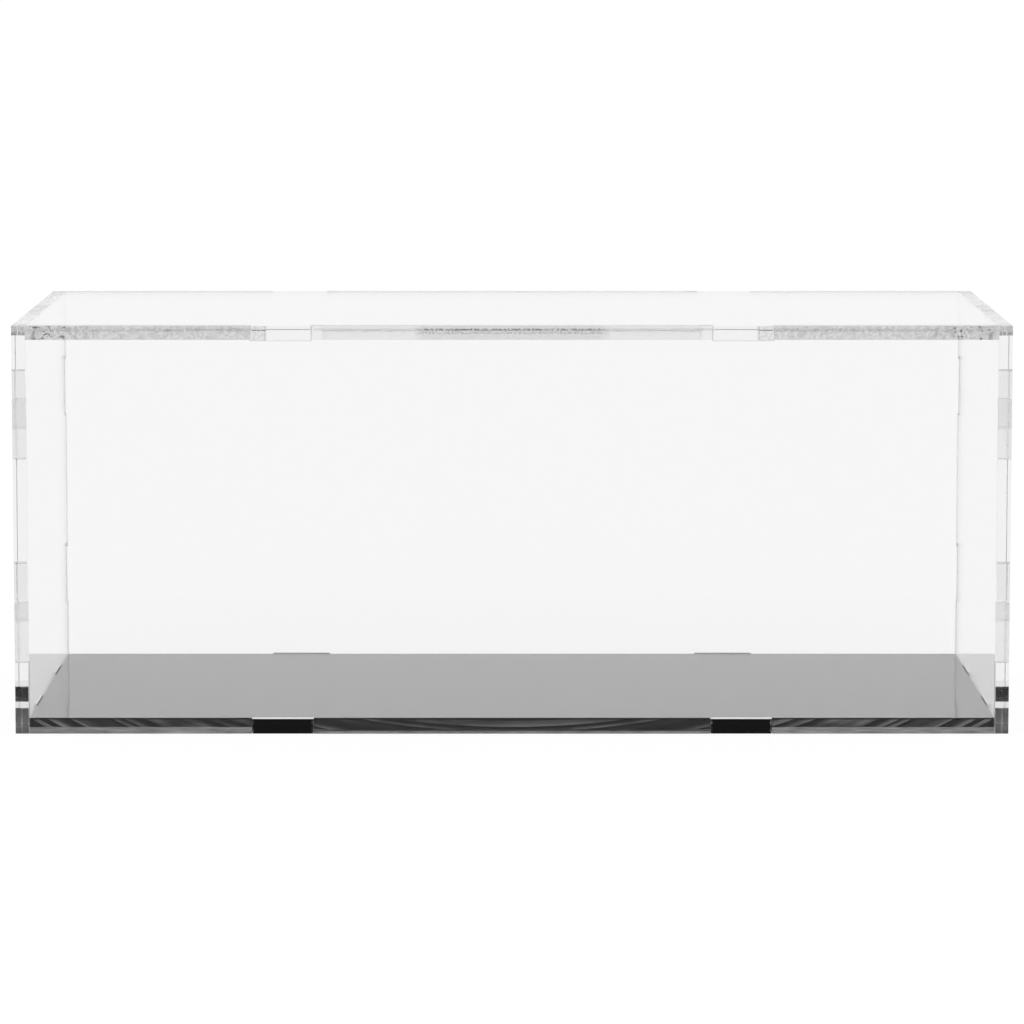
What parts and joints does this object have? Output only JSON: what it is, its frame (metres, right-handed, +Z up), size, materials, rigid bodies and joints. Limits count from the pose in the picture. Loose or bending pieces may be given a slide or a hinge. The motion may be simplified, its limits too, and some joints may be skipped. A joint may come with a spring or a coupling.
{
  "type": "display case",
  "caption": "Rectangular clear acrylic display case on a black base, slotted together from flat sheets by tabs and notches; the cover lifts off and each sheet pulls away.",
  "frame": {"origin": "middle of the underside, on the surface that the case stands on", "axes": "+X along the width to the right, +Y along the depth from front to back, +Z up"},
  "size_m": [0.34, 0.16, 0.14],
  "materials": {
    "clear_acrylic": "clear polished acrylic sheet with saw-cut edges",
    "black_acrylic": "black polished acrylic sheet with saw-cut edges"
  },
  "bodies": {
    "base": {"base_plate": "black_acrylic"},
    "back": {"back_panel": "clear_acrylic"},
    "front": {"front_panel": "clear_acrylic"},
    "left": {"left_panel": "clear_acrylic"},
    "right": {"right_panel": "clear_acrylic"},
    "top": {"top_panel": "clear_acrylic"}
  },
  "joints": [
    {"name": "cover_lift", "type": "slide", "parent": "base", "child": "back", "axis": [0, 0, 1], "range_m": [0, 0.14]},
    {"name": "top_lift", "type": "slide", "parent": "back", "child": "top", "axis": [0, 0, 1], "range_m": [0, 0.06]},
    {"name": "front_pull", "type": "slide", "parent": "back", "child": "front", "axis": [0, -1, 0], "range_m": [0, 0.08]},
    {"name": "left_pull", "type": "slide", "parent": "back", "child": "left", "axis": [-1, 0, 0], "range_m": [0, 0.08]},
    {"name": "right_pull", "type": "slide", "parent": "back", "child": "right", "axis": [1, 0, 0], "range_m": [0, 0.08]}
  ]
}
